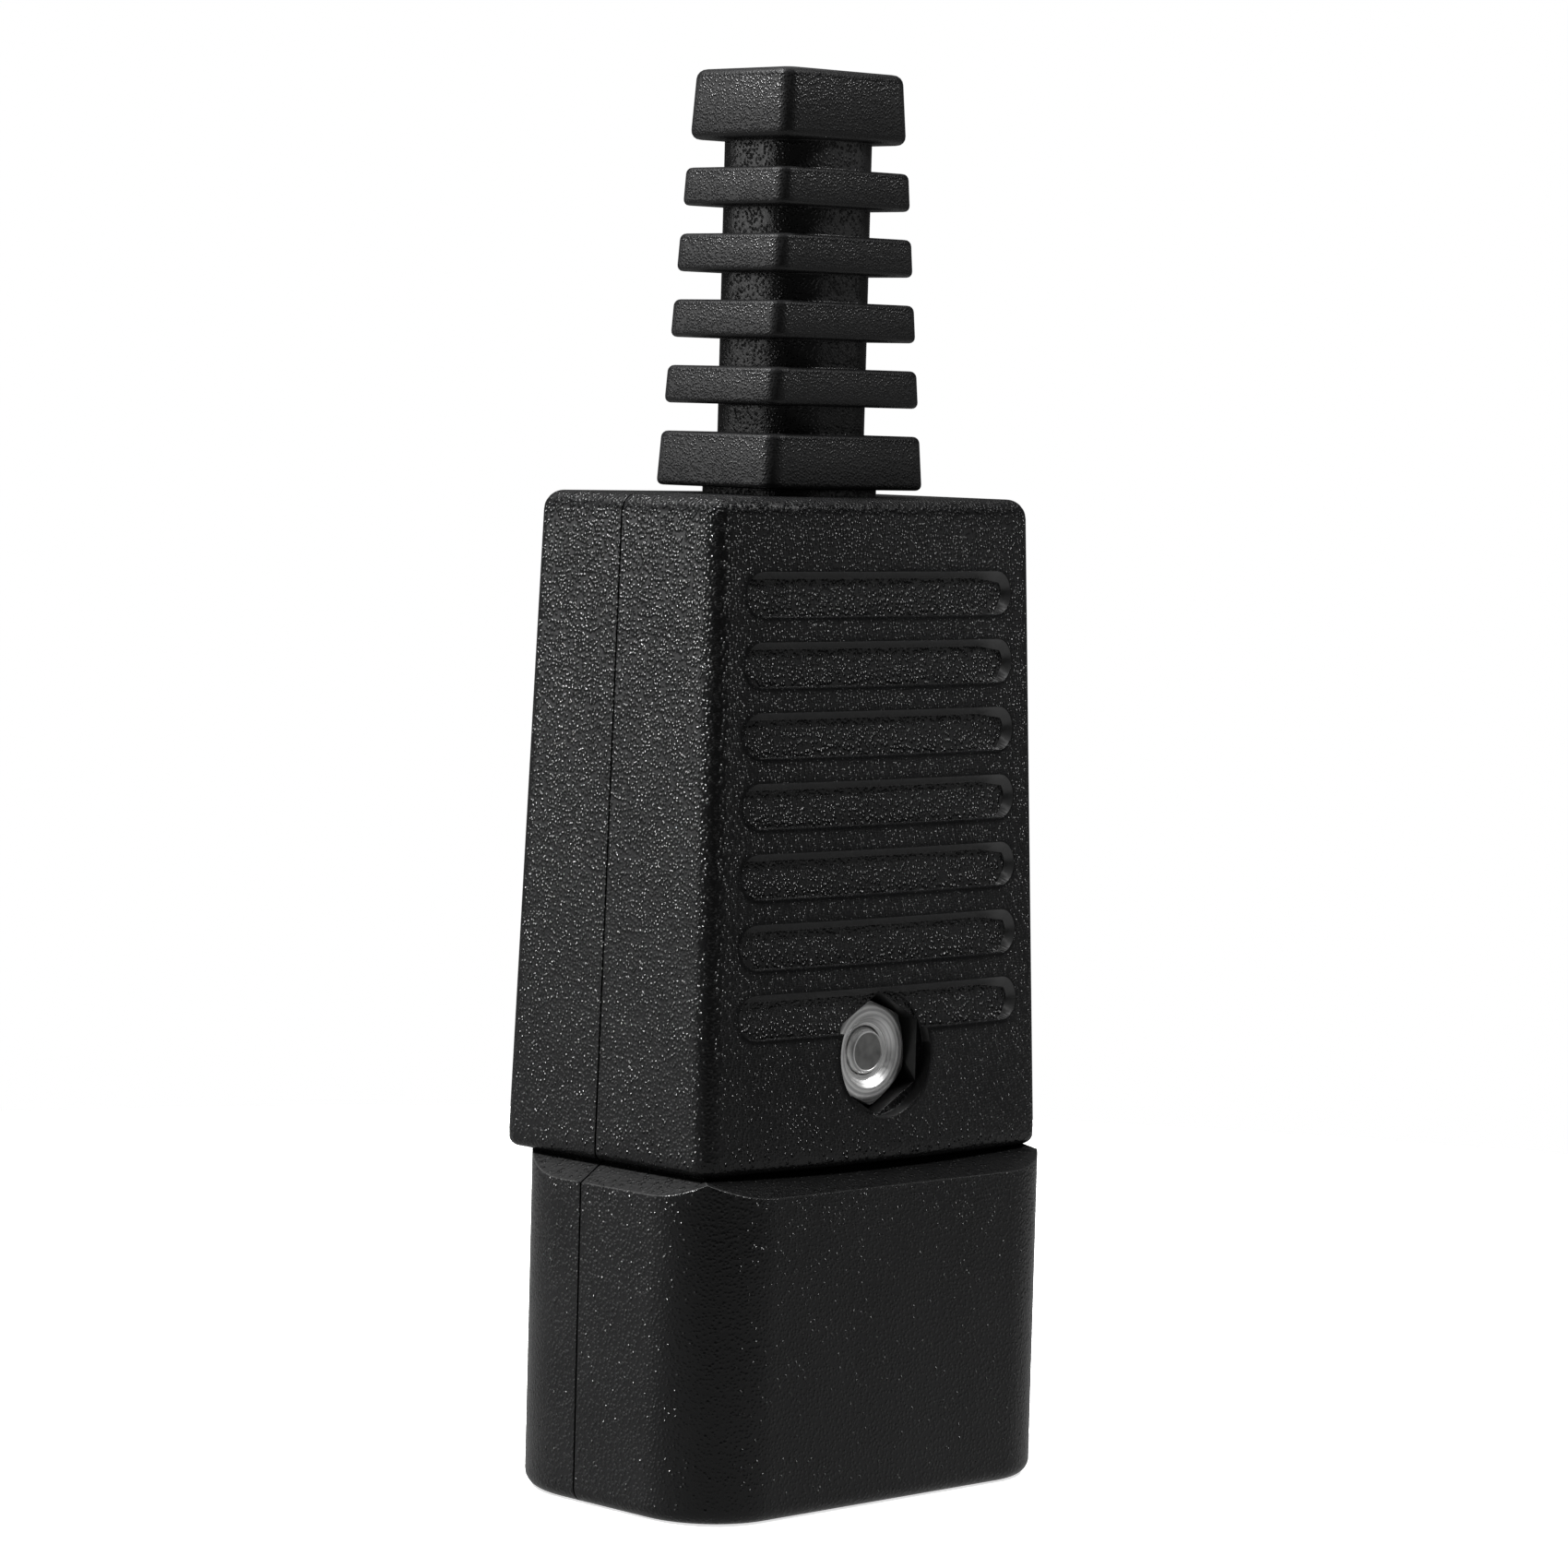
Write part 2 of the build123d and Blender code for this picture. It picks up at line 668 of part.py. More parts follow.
# Bridge that presses the cord into the saddle, with a lug over each post
with BuildPart() as cord_clamp:
    bridge_under = cord_axis + cord_grip / 2
    bridge_half = (cord_grip + rib) / 2
    bridge_foot = post_x - clamp_head_diameter / 2 - slide_clearance
    with BuildSketch(Plane.XY.offset(clamp_height - clamp_width / 2)):
        with BuildLine():
            Polyline(
                (0, bridge_under),
                (bridge_half, bridge_under),
                (bridge_half, clamp_seat),
                (post_x + clamp_end, clamp_seat),
                (post_x + clamp_end, clamp_seat + clamp_lug),
                (bridge_foot, clamp_seat + clamp_lug),
                (bridge_half, bridge_under + clamp_bridge),
                (0, bridge_under + clamp_bridge),
            )
            mirror(about=Plane.YZ)
        make_face()
    extrude(amount=clamp_width)
    with BuildSketch(Plane.back):
        with Locations((0, clamp_height)):
            with GridLocations(clamp_spacing, 0, 2, 1):
                Circle(thread_hole / 2)
    extrude(amount=clamp_seat + clamp_lug, mode=Mode.SUBTRACT)
cord_clamp.part.label = "cord_clamp"
export_step(cord_clamp.part, "parts/cord_clamp.step")

for name, side in (("left", -1), ("right", 1)):
    clamp_top = clamp_seat + clamp_lug
    with BuildPart() as clamp_screw:
        with BuildSketch(Plane.back.offset(-clamp_screw_depth)):
            with Locations((-side * post_x, clamp_height)):
                Circle(terminal_diameter / 2)
        extrude(amount=clamp_screw_depth + clamp_top)
        with BuildSketch(Plane.back.offset(clamp_top)):
            with Locations((-side * post_x, clamp_height)):
                Circle(clamp_head_diameter / 2)
        extrude(amount=clamp_head_height)
        with BuildSketch(Plane.back.offset(clamp_top + clamp_head_height)):
            with Locations((-side * post_x, clamp_height)):
                Rectangle(clamp_head_diameter, terminal_slot)
        extrude(amount=-terminal_slot_depth, mode=Mode.SUBTRACT)
    clamp_screw.part.label = name + "_clamp_screw"
    export_step(clamp_screw.part, "parts/" + name + "_clamp_screw.step")
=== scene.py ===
import bpy, bmesh, math
from mathutils import Matrix, Vector


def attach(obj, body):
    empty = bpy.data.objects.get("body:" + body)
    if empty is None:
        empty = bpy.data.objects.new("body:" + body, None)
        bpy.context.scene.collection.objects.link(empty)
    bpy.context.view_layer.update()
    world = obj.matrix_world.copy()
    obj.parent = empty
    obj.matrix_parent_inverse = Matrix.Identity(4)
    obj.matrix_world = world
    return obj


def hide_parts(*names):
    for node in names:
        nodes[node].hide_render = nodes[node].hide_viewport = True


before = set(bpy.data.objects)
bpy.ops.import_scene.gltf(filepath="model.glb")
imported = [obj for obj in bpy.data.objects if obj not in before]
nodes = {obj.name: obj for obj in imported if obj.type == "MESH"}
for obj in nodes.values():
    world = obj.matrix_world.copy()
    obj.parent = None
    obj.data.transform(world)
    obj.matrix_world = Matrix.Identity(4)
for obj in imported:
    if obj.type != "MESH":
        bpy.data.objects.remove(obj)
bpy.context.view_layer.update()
mm = 0.001
# height of the axis of the shell screw and its nut, which runs along Y
screwZ = 25.5
print("frame loaded:", len(nodes), "nodes")


def addNode(tree, kind, place=(0, 0), **values):
    node = tree.nodes.new(kind)
    node.location = place
    for key, value in values.items():
        setattr(node, key, value)
    return node


def newMaterial(name):
    mat = bpy.data.materials.new(name)
    mat.use_nodes = True
    tree = mat.node_tree
    return mat, tree, tree.nodes["Principled BSDF"]


def linkPiece(name, data):
    piece = bpy.data.objects.new(name, data)
    bpy.context.scene.collection.objects.link(piece)
    return piece


def smoothByAngle(mesh, degrees):
    for poly in mesh.polygons:
        poly.use_smooth = True
    mesh.set_sharp_from_angle(angle=math.radians(degrees))


# camera: the place, turn and lens fitted to the outline in the photograph
cameraFit = {
    "place": (-212.799, -220.240, 61.828),
    "right": (0.71931, -0.69418, 0.02656),
    "up": (0.02984, 0.06908, 0.99717),
    "lensPixels": 5765.97,
    "imagePixels": 1700,
    "sensor": 36.0,
    "clip": (0.01, 20),
}


def makeCamera(fit):
    data = bpy.data.cameras.new("photoCamera")
    data.sensor_width = fit["sensor"]
    data.lens = fit["sensor"] * fit["lensPixels"] / fit["imagePixels"]
    data.clip_start, data.clip_end = fit["clip"]
    camera = linkPiece("photoCamera", data)
    right = Vector(fit["right"]).normalized()
    up = Vector(fit["up"])
    up = (up - right * up.dot(right)).normalized()
    back = right.cross(up)
    turn = Matrix((right, up, back)).transposed().to_4x4()
    camera.matrix_world = Matrix.Translation(Vector(fit["place"]) * mm) @ turn
    bpy.context.scene.camera = camera


makeCamera(cameraFit)
bpy.context.scene.view_settings.view_transform = "Standard"
print("camera set")


# studio: pale floor, a low box light on each side, a small one above each for the glints, one overhead
studio = {
    "floorRadius": 0.16, "floorSegments": 96, "floorRough": 0.9,
    "floorSeen": 0.86, "floorGlow": 0.7, "floorBounce": 0.36,
    "leftBox": {"place": (-0.42, 0.36, 0.15), "size": (0.34, 0.26), "power": 0.62},
    "leftSpot": {"place": (-0.235, 0.235, 0.49), "size": (0.07, 0.07), "power": 8.2},
    "rightBox": {"place": (0.43, -0.40, 0.16), "size": (0.30, 0.24), "power": 0.1},
    "rightSpot": {"place": (0.235, -0.235, 0.49), "size": (0.07, 0.07), "power": 2.3},
    "topBox": {"place": (0.15, 0.25, 1.1), "size": (1.2, 1.2), "power": 9.5},
    "sideAim": (0, 0, 0.035), "topAim": (0, 0, 0),
    "roomLight": 0.06,
}


def boxLight(name, spec, aim):
    data = bpy.data.lights.new(name, "AREA")
    data.shape = "RECTANGLE"
    data.size, data.size_y = spec["size"]
    data.energy = spec["power"]
    lamp = linkPiece(name, data)
    place = Vector(spec["place"])
    lamp.location = place
    lamp.rotation_euler = (Vector(aim) - place).to_track_quat("-Z", "Y").to_euler()


# what the camera sees of a surface or the world, and what lights the part, kept apart
def pickByCamera(tree, place, lighting, seen, target):
    rays = addNode(tree, "ShaderNodeLightPath", (place[0] - 400, place[1] + 250))
    pick = addNode(tree, "ShaderNodeMixShader", place)
    tree.links.new(rays.outputs["Is Camera Ray"], pick.inputs[0])
    tree.links.new(lighting.outputs[0], pick.inputs[1])
    tree.links.new(seen.outputs[0], pick.inputs[2])
    tree.links.new(pick.outputs[0], target)


def makeFloor(spec):
    bm = bmesh.new()
    bmesh.ops.create_circle(bm, cap_ends=True, segments=spec["floorSegments"], radius=spec["floorRadius"])
    mesh = bpy.data.meshes.new("paleFloor")
    bm.to_mesh(mesh)
    bm.free()
    floor = linkPiece("paleFloor", mesh)
    mat, tree, shader = newMaterial("paleFloor")
    shader.inputs["Base Color"].default_value = (*[spec["floorSeen"]] * 3, 1)
    shader.inputs["Roughness"].default_value = spec["floorRough"]
    shader.inputs["Emission Color"].default_value = (1, 1, 1, 1)
    shader.inputs["Emission Strength"].default_value = spec["floorGlow"]
    bounce = addNode(tree, "ShaderNodeEmission", (0, -300))
    bounce.inputs["Strength"].default_value = spec["floorBounce"]
    pickByCamera(tree, (300, 0), bounce, shader, tree.nodes["Material Output"].inputs["Surface"])
    mesh.materials.append(mat)


def makeRoom(spec):
    for name in ("leftBox", "leftSpot", "rightBox", "rightSpot"):
        boxLight(name, spec[name], spec["sideAim"])
    boxLight("topBox", spec["topBox"], spec["topAim"])
    world = bpy.data.worlds.new("studioRoom")
    bpy.context.scene.world = world
    world.use_nodes = True
    tree = world.node_tree
    room = tree.nodes["Background"]
    room.inputs["Color"].default_value = (1, 1, 1, 1)
    room.inputs["Strength"].default_value = spec["roomLight"]
    backdrop = addNode(tree, "ShaderNodeBackground", (0, -160))
    backdrop.inputs["Color"].default_value = (1, 1, 1, 1)
    pickByCamera(tree, (200, 0), room, backdrop, tree.nodes["World Output"].inputs[0])


makeFloor(studio)
makeRoom(studio)
print("studio set")


# small builders for the materials: each takes sockets and gives the socket of its result
def noiseNode(tree, place, vector, scale, detail):
    node = addNode(tree, "ShaderNodeTexNoise", place)
    node.inputs["Scale"].default_value = scale
    node.inputs["Detail"].default_value = detail
    tree.links.new(vector, node.inputs["Vector"])
    return node.outputs["Fac"]


# an end of a span is a number or a socket
def mapRange(tree, place, value, fromSpan=(0, 1), toSpan=(0, 1), smooth=False):
    node = addNode(tree, "ShaderNodeMapRange", place)
    node.interpolation_type = "SMOOTHSTEP" if smooth else "LINEAR"
    tree.links.new(value, node.inputs["Value"])
    for label, end in zip(("From Min", "From Max", "To Min", "To Max"), (*fromSpan, *toSpan)):
        if isinstance(end, bpy.types.NodeSocket):
            tree.links.new(end, node.inputs[label])
        else:
            node.inputs[label].default_value = end
    return node.outputs["Result"]


def mathNode(tree, place, operation, first, second):
    node = addNode(tree, "ShaderNodeMath", place, operation=operation)
    tree.links.new(first, node.inputs[0])
    tree.links.new(second, node.inputs[1])
    return node.outputs["Value"]


def vectorNode(tree, place, operation, *vectors):
    node = addNode(tree, "ShaderNodeVectorMath", place, operation=operation)
    for socket, vector in zip(node.inputs, vectors):
        tree.links.new(vector, socket)
    return node.outputs


def splitVector(tree, place, vector):
    node = addNode(tree, "ShaderNodeSeparateXYZ", place)
    tree.links.new(vector, node.inputs["Vector"])
    return node.outputs


def bevelNormal(tree, place, radius, samples):
    node = addNode(tree, "ShaderNodeBevel", place, samples=samples)
    node.inputs["Radius"].default_value = radius * mm
    return node.outputs["Normal"]


def bumpNode(tree, place, depth, height):
    node = addNode(tree, "ShaderNodeBump", place)
    node.inputs["Distance"].default_value = depth * mm
    tree.links.new(height, node.inputs["Height"])
    return node


def shadeRamp(tree, place, value, stops, shades):
    node = addNode(tree, "ShaderNodeValToRGB", place)
    for stop, at, shade in zip(node.color_ramp.elements, stops, shades):
        stop.position = at
        stop.color = (*shade, 1)
    tree.links.new(value, node.inputs["Fac"])
    return node.outputs["Color"]


def inMetres(span):
    return tuple(v * mm for v in span)


# black moulding: small domes left by an eroded tool, each of which glints, over a finer grain
moulding = {
    "detail": 2.0, "toneStops": (0.3, 0.7), "grainDepth": 0.02, "edgeSamples": 4,
    "wearAndEdgeShadeSamples": 8, "wearAndEdgeShadeSpan": (-0.05, -0.004), "baseBand": (21.5, 23.5),
    "fullShine": 0.5, "upwardShadeSpan": (0.06, 0.3), "flatSpan": (0.78, 0.97),
    "edgeHighlightSpan": (0.995, 0.93), "seamBand": (0.3, 0.5),
    "cellTurn": (0.6, 0.4, 0.9), "glossSpan": (0, 0.5),
}


def mouldedBlack(name, spec):
    mat, tree, shader = newMaterial(name)
    link = tree.links.new
    shader.inputs["IOR"].default_value = spec["ior"]
    place = addNode(tree, "ShaderNodeTexCoord", (-1500, 0)).outputs["Object"]
    height = splitVector(tree, (-1300, 200), place)["Z"]
    true = addNode(tree, "ShaderNodeNewGeometry", (-900, -350)).outputs["Normal"]
    tone = noiseNode(tree, (-900, 400), place, spec["toneScale"], moulding["detail"])
    colour = shadeRamp(tree, (-600, 400), tone, moulding["toneStops"], (spec["dark"], spec["light"]))

    # painted shade, with some wear: along the edges of the broad faces, where the rounded normal leaves the
    # true one, the shine is turned down to draw dark lines and the domes thin out; below a band just above
    # the housing's foot this is left off
    wide = bevelNormal(tree, (-900, -400), spec["wearAndEdgeShadeWidth"], moulding["wearAndEdgeShadeSamples"])
    lean = vectorNode(tree, (-700, -350), "DOT_PRODUCT", wide, true)["Value"]
    size = vectorNode(tree, (-800, -450), "ABSOLUTE", true)["Vector"]
    broad = splitVector(tree, (-700, -450), size)
    spare = mathNode(tree, (-550, -450), "SUBTRACT", lean, broad["Y"])
    aboveBase = mapRange(tree, (-700, -250), height, inMetres(moulding["baseBand"]), (1, spec["wearAndEdgeShade"]))
    wearAndEdgeShade = mapRange(tree, (-500, -350), spare, moulding["wearAndEdgeShadeSpan"], (aboveBase, 1))

    # painted shade: what faces upwards is given less shine, so that tops and upper roundings read darker
    if spec["wearAndEdgeShade"] < 1 or spec["upwardShadeShine"] < 1:
        facing = splitVector(tree, (-700, -50), true)["Z"]
        levels = (moulding["fullShine"], moulding["fullShine"] * spec["upwardShadeShine"])
        upwardShade = mapRange(tree, (-500, -50), facing, moulding["upwardShadeSpan"], levels, True)
        shadedShine = mathNode(tree, (-300, -50), "MULTIPLY", wearAndEdgeShade, upwardShade)
        link(shadedShine, shader.inputs["Specular IOR Level"])

    # painted highlight: the edges are paler, like a rounded edge catching the light, but not beside the seam
    if "paintedEdgeHighlight" in spec:
        side = vectorNode(tree, (-900, 250), "ABSOLUTE", place)["Vector"]
        across = splitVector(tree, (-800, 250), side)["Y"]
        offSeam = mapRange(tree, (-700, 250), across, inMetres(moulding["seamBand"]))
        edgeHighlight = mapRange(tree, (-500, 250), lean, moulding["edgeHighlightSpan"], (0, offSeam))
        mix = addNode(tree, "ShaderNodeMix", (-300, 300), data_type="RGBA")
        mix.inputs["B"].default_value = (*spec["paintedEdgeHighlight"], 1)
        link(edgeHighlight, mix.inputs["Factor"])
        link(colour, mix.inputs["A"])
        colour = mix.outputs["Result"]
    link(colour, shader.inputs["Base Color"])

    # cells of the domes are turned, so that no flat face runs along a layer of them
    turned = addNode(tree, "ShaderNodeMapping", (-1400, -500))
    turned.inputs["Rotation"].default_value = moulding["cellTurn"]
    link(place, turned.inputs["Vector"])
    cells = addNode(tree, "ShaderNodeTexVoronoi", (-1300, -500))
    cells.inputs["Scale"].default_value = spec["domeScale"]
    link(turned.outputs["Vector"], cells.inputs["Vector"])
    dome = mapRange(tree, (-900, -500), cells.outputs["Distance"], (0, spec["domeSpread"]), (1, 0), True)
    gloss = mapRange(tree, (-600, 100), dome, moulding["glossSpan"], spec["rough"][::-1])
    link(gloss, shader.inputs["Roughness"])

    # towards the top of the housing more of the cells carry a full dome; rounded edges carry weaker ones
    chance = addNode(tree, "ShaderNodeSeparateColor", (-1100, -700))
    link(cells.outputs["Color"], chance.inputs["Color"])
    share = mapRange(tree, (-1100, 200), height, inMetres(spec["growth"]), spec["share"])
    full = mathNode(tree, (-900, -700), "LESS_THAN", chance.outputs["Red"], share)
    strength = mapRange(tree, (-700, -700), full, toSpan=spec["domes"])
    widest = mathNode(tree, (-600, -600), "MAXIMUM", broad["X"], broad["Y"])
    flat = mapRange(tree, (-400, -600), widest, moulding["flatSpan"], (spec["edgeDomes"], 1), True)
    rise = mathNode(tree, (-500, -550), "MULTIPLY", strength, wearAndEdgeShade)
    even = mathNode(tree, (-400, -550), "MULTIPLY", rise, flat)

    grain = noiseNode(tree, (-900, 0), place, spec["grainScale"], moulding["detail"])
    fine = bumpNode(tree, (-600, -150), moulding["grainDepth"], grain)
    fine.inputs["Strength"].default_value = spec["fine"]
    link(bevelNormal(tree, (-900, -250), spec["edge"], moulding["edgeSamples"]), fine.inputs["Normal"])
    bump = bumpNode(tree, (-300, -300), spec["domeDepth"], dome)
    link(even, bump.inputs["Strength"])
    link(fine.outputs["Normal"], bump.inputs["Normal"])
    link(bump.outputs["Normal"], shader.inputs["Normal"])
    return mat


# a plain moulded wall; the other finishes list what differs from it, or from the one they start with
# the edge level and the upward level in each finish paint shade: the lower they are, the darker the edges of
# the broad faces and what faces upwards
plainFinish = {
    "dark": (0.005, 0.005, 0.0052), "light": (0.008, 0.008, 0.0082), "toneScale": 500.0,
    "ior": 1.4, "rough": (0.36, 0.42), "edge": 0.06, "wearAndEdgeShadeWidth": 0.06, "wearAndEdgeShade": 0.6, "upwardShadeShine": 1.0,
    "grainScale": 6000.0, "fine": 0.2, "growth": (10.0, 40.0), "share": (1.0, 1.0),
    "domes": (0.1, 0.1), "edgeDomes": 1.0, "domeScale": 4000.0, "domeSpread": 0.7, "domeDepth": 0.02,
}
sparkFinish = {
    **plainFinish,
    "dark": (0.0045, 0.0045, 0.0048), "light": (0.0075, 0.0075, 0.0078), "toneScale": 260.0,
    "ior": 1.42, "rough": (0.2, 0.3), "edge": 0.12, "wearAndEdgeShadeWidth": 0.8, "wearAndEdgeShade": 0.2, "upwardShadeShine": 0.3,
    "grainScale": 9000.0, "fine": 0.5, "growth": (14, 46), "share": (0.1, 1.0),
    "domes": (0.3, 1.0), "edgeDomes": 0.6, "domeScale": 4600.0, "domeSpread": 0.65, "domeDepth": 0.105,
}
softFinish = {
    **plainFinish,
    "dark": (0.005, 0.005, 0.0053), "light": (0.008, 0.008, 0.0083), "toneScale": 300.0,
    "ior": 1.5, "rough": (0.28, 0.46), "edge": 0.10, "wearAndEdgeShadeWidth": 0.1, "wearAndEdgeShade": 1.0, "upwardShadeShine": 0.15,
    "grainScale": 9000.0, "fine": 0.4, "growth": (57.0, 80.0), "share": (0.75, 0.75),
    "domes": (0.35, 0.5), "edgeDomes": 0.3, "domeScale": 7200.0, "domeDepth": 0.08,
}
sparkPlastic = mouldedBlack("sparkPlastic", sparkFinish)
gripPlastic = mouldedBlack("gripPlastic", {
    **sparkFinish, "ior": 1.52, "edge": 0.04, "wearAndEdgeShadeWidth": 0.15, "wearAndEdgeShade": 0.7, "upwardShadeShine": 1.0,
    "growth": (8.0, 42.0), "share": (0.5, 1.0), "edgeDomes": 0.3, "domeDepth": 0.11,
})
# painted light: the sloped walls of the grips are a paler, more reflective copy of the moulding, as if
# catching light from below and from the side
litSlopePlastic = mouldedBlack("litSlopePlastic", {
    **plainFinish, "dark": (0.024, 0.024, 0.0242), "light": (0.03, 0.03, 0.0302),
    "ior": 1.8, "rough": (0.34, 0.38),
})
smoothPlastic = mouldedBlack("smoothPlastic", plainFinish)
# painted shade: the shoulder under the housing's overhang is a darker, duller copy of the moulding, with a
# painted highlight along its edges
shoulderShadePlastic = mouldedBlack("shoulderShadePlastic", {
    **plainFinish, "dark": (0.003, 0.003, 0.0031), "light": (0.0045, 0.0045, 0.0046),
    "rough": (0.4, 0.5), "wearAndEdgeShadeWidth": 0.2, "upwardShadeShine": 0.25, "fine": 0.4, "share": (0.25, 0.25),
    "domes": (0.15, 0.9), "domeScale": 4600.0, "domeDepth": 0.08, "paintedEdgeHighlight": (0.045, 0.045, 0.045),
})
# painted shade: the walls of the seam's groove are a near-black, dull copy of the moulding
seamShadePlastic = mouldedBlack("seamShadePlastic", {
    **plainFinish, "dark": (0.0012, 0.0012, 0.0012), "light": (0.002, 0.002, 0.002),
    "ior": 1.2, "rough": (0.56, 0.64), "edge": 0.02, "wearAndEdgeShadeWidth": 0.02, "wearAndEdgeShade": 1.0,
})
softPlastic = mouldedBlack("softPlastic", softFinish)
neckPlastic = mouldedBlack("neckPlastic", {
    **softFinish, "rough": (0.26, 0.36), "upwardShadeShine": 1.0, "fine": 0.2, "share": (0.6, 0.6),
    "domes": (0.1, 0.45), "edgeDomes": 1.0, "domeScale": 6000.0, "domeDepth": 0.09,
})


# plated metal: faint mottling, with turned rings about an axis along Y where one is given
plating = {"detail": 4.0, "stops": (0, 1), "ringDetail": 3.0, "ringStops": (0.38, 0.62)}


def turnedRings(tree, place, spec):
    shift = addNode(tree, "ShaderNodeMapping", (-1000, -200))
    shift.inputs["Location"].default_value = tuple(-v * mm for v in spec["ringAxis"])
    tree.links.new(place, shift.inputs["Vector"])
    flat = addNode(tree, "ShaderNodeVectorMath", (-800, -200), operation="MULTIPLY")
    flat.inputs[1].default_value = (1, 0, 1)
    tree.links.new(shift.outputs["Vector"], flat.inputs[0])
    radius = vectorNode(tree, (-600, -200), "LENGTH", flat.outputs[0])["Value"]
    turns = addNode(tree, "ShaderNodeTexNoise", (-400, -200), noise_dimensions="1D")
    turns.inputs["Scale"].default_value = spec["ringScale"]
    turns.inputs["Detail"].default_value = plating["ringDetail"]
    tree.links.new(radius, turns.inputs["W"])
    return turns.outputs["Fac"]


def platedMetal(name, spec):
    mat, tree, shader = newMaterial(name)
    link = tree.links.new
    shader.inputs["Metallic"].default_value = 1.0
    place = addNode(tree, "ShaderNodeTexCoord", (-1200, 0)).outputs["Object"]
    cloud = noiseNode(tree, (-900, 200), place, spec["cloudScale"], plating["detail"])
    marks, stops = cloud, plating["stops"]
    if "ringAxis" in spec:
        marks, stops = turnedRings(tree, place, spec), plating["ringStops"]
    colour = shadeRamp(tree, (-600, 300), marks, stops, (spec["dark"], spec["light"]))
    link(colour, shader.inputs["Base Color"])
    link(mapRange(tree, (-600, 60), cloud, toSpan=spec["rough"]), shader.inputs["Roughness"])
    bump = bumpNode(tree, (-200, -200), spec["bumpDepth"], marks)
    bump.inputs["Strength"].default_value = spec["bump"]
    link(bump.outputs["Normal"], shader.inputs["Normal"])
    return mat


zincPlate = platedMetal("zincPlate", {
    "dark": (0.6, 0.6, 0.6), "light": (1.0, 1.0, 0.99), "cloudScale": 5000.0, "rough": (0.3, 0.6),
    "bump": 0.6, "bumpDepth": 0.03, "ringAxis": (0, 0, screwZ), "ringScale": 6000.0,
})
# darker plating for the seen end of the screw; in the cross recess the same plating is painted shade
zincEndAndRecessShade = platedMetal("zincEndAndRecessShade", {
    "dark": (0.16, 0.16, 0.16), "light": (0.46, 0.46, 0.45), "cloudScale": 1800.0,
    "rough": (0.3, 0.5), "bump": 0.5, "bumpDepth": 0.04,
})
zincSmall = platedMetal("zincSmall", {
    "dark": (0.52, 0.52, 0.53), "light": (0.70, 0.70, 0.70), "cloudScale": 1400.0,
    "rough": (0.24, 0.40), "bump": 0.1, "bumpDepth": 0.02,
})
nickelPlate = platedMetal("nickelPlate", {
    "dark": (0.60, 0.57, 0.51), "light": (0.72, 0.69, 0.63), "cloudScale": 700.0,
    "rough": (0.18, 0.30), "bump": 0.08, "bumpDepth": 0.02,
})
print("materials made")


# half shells: merged copies of the solids, with the smooth walls and the floors of the grips told apart
# pairs of sizes run from the housing's foot to its top; facing is a part of a face's normal
shellFinish = {
    "sharpAngle": 28.0, "merge": 0.0008,
    "housing": (19.5, 56.9), "halfWidth": (13.5, 12.6), "crown": 0.7,
    "frontDepth": (9.0, 7.7), "rearDepth": (8.05, 7.2),
    "cornerRadius": 1.25, "baseRound": (0.85, 0.6), "baseDrop": 0.16, "baseSlack": 0.01, "baseReach": 0.12,
    "gripSpan": (11.8, 26.0, 53.4), "gripOutside": 6.6, "floorFacing": 0.93, "floorBand": (0.2, 0.6),
    "slopeFacing": (-0.9, -0.4), "endFacing": -0.4,
    "gripTopMiddle": 51.55, "gripPitch": 3.91, "gripCount": 7, "gripRadius": 1.25, "gripMargin": 2.2,
    "gripDepth": 0.42, "endSlope": 0.4, "endFade": 1.5, "endSlack": 0.02, "floorSlack": 0.1,
    "holeRadius": 3.75, "holeFacing": 0.97,
    "cavity": (12.36, -9.36, 6.76), "cavityTop": 17.42, "cavitySlack": 0.02, "cavityFacing": 0.9,
    "shoulder": (17.9, 19.6), "shoulderFacing": (0.3, 0.97),
    "seam": 0.07,
}


# true for the polished walls: edges of the grips, the nut's hole, and all that faces the inside
def smoothWall(at, normal, spec):
    half, low, high = spec["gripSpan"]
    turned = abs(normal.y) < spec["floorFacing"]
    if turned and abs(at.x) < half and low < at.z < high and abs(at.y) > spec["gripOutside"]:
        return True
    if math.hypot(at.x, at.z - screwZ) < spec["holeRadius"] and abs(normal.y) < spec["holeFacing"]:
        return True
    side, front, rear = spec["cavity"]
    slack = spec["cavitySlack"]
    return abs(at.x) < side and front < at.y < rear and slack < at.z < spec["cavityTop"] and (
        abs(at.x) < side - slack or abs(normal.x) > spec["cavityFacing"])


# half the width of the housing at a height, and the depth of its broad face at the side edges
def faceAt(z, y, spec):
    share = (z - spec["housing"][0]) / (spec["housing"][1] - spec["housing"][0])
    low, high = spec["halfWidth"]
    deepLow, deepHigh = spec["rearDepth"] if y > 0 else spec["frontDepth"]
    return low + (high - low) * share, deepLow + (deepHigh - deepLow) * share


# how far a point lies under the crowned broad face
def belowFace(x, y, z, spec):
    width, edge = faceAt(z, y, spec)
    return edge + spec["crown"] * (1 - (x / width) ** 2) - abs(y)


# true for what lies just under a crowned broad face, inside the span of the grips
def gripFloor(at, normal, spec):
    half, low, high = spec["gripSpan"]
    if abs(normal.y) < spec["floorFacing"] or abs(at.x) > half or not low < at.z < high:
        return False
    return spec["floorBand"][0] < belowFace(*at, spec) < spec["floorBand"][1]


